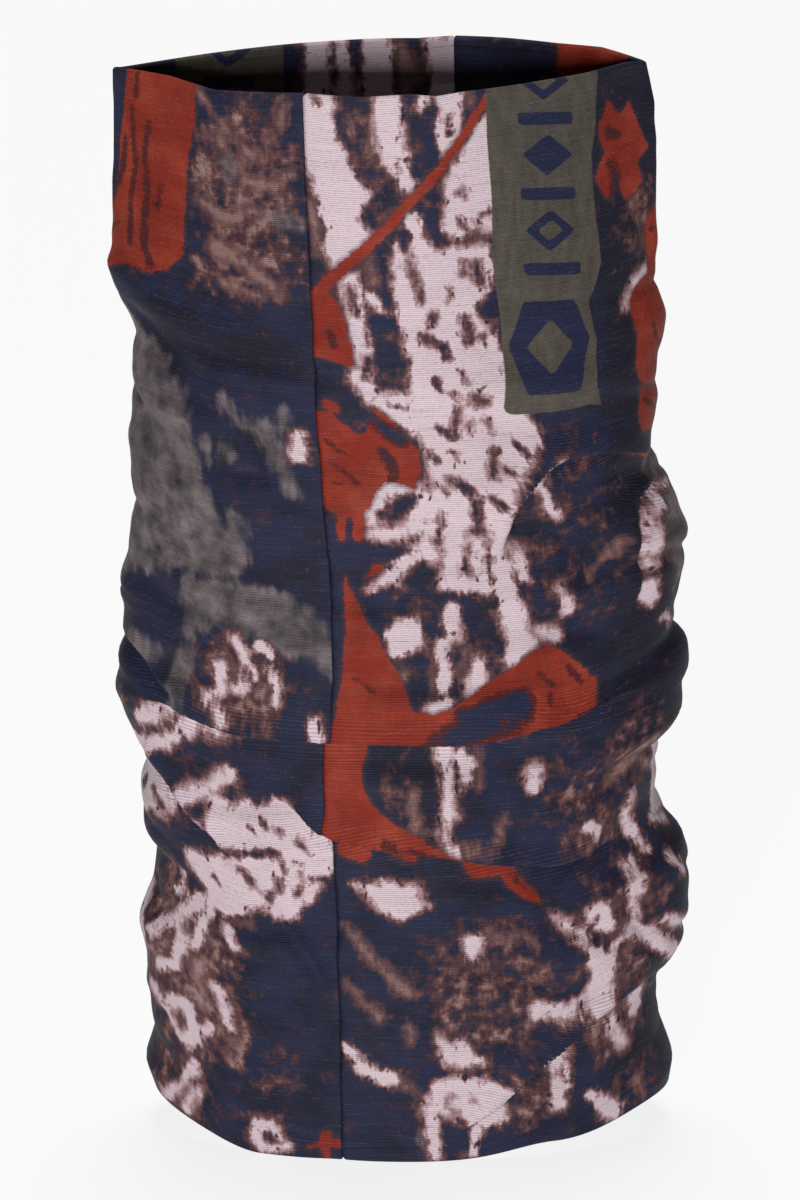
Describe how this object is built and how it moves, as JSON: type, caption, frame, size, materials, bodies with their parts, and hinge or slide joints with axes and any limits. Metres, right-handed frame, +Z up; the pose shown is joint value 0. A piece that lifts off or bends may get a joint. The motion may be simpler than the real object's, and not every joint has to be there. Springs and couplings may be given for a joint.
{
  "type": "neck gaiter",
  "caption": "Soft printed jersey tube for the neck, two sewn panels with turned-in hems, standing upright with crumpled folds.",
  "frame": {"origin": "middle of the footprint, on the surface the lower hem stands on", "axes": "+Z up the tube, +Y from the front of the tube to its back, +X to the right as seen from the front"},
  "size_m": [0.2153, 0.117, 0.408],
  "materials": {
    "printed_jersey": "matt printed polyester microfibre jersey, fine courses, slight sheen, navy, brick red, pale lilac and grey-olive print",
    "seam_thread": "soft textured polyester overlock thread, dark navy"
  },
  "bodies": {
    "root": {"right_panel": "printed_jersey", "left_panel": "printed_jersey", "front_seam_needle_thread": "seam_thread", "front_seam_upper_looper_thread": "seam_thread", "front_seam_lower_looper_thread": "seam_thread", "back_seam_needle_thread": "seam_thread", "back_seam_upper_looper_thread": "seam_thread", "back_seam_lower_looper_thread": "seam_thread"}
  },
  "joints": []
}
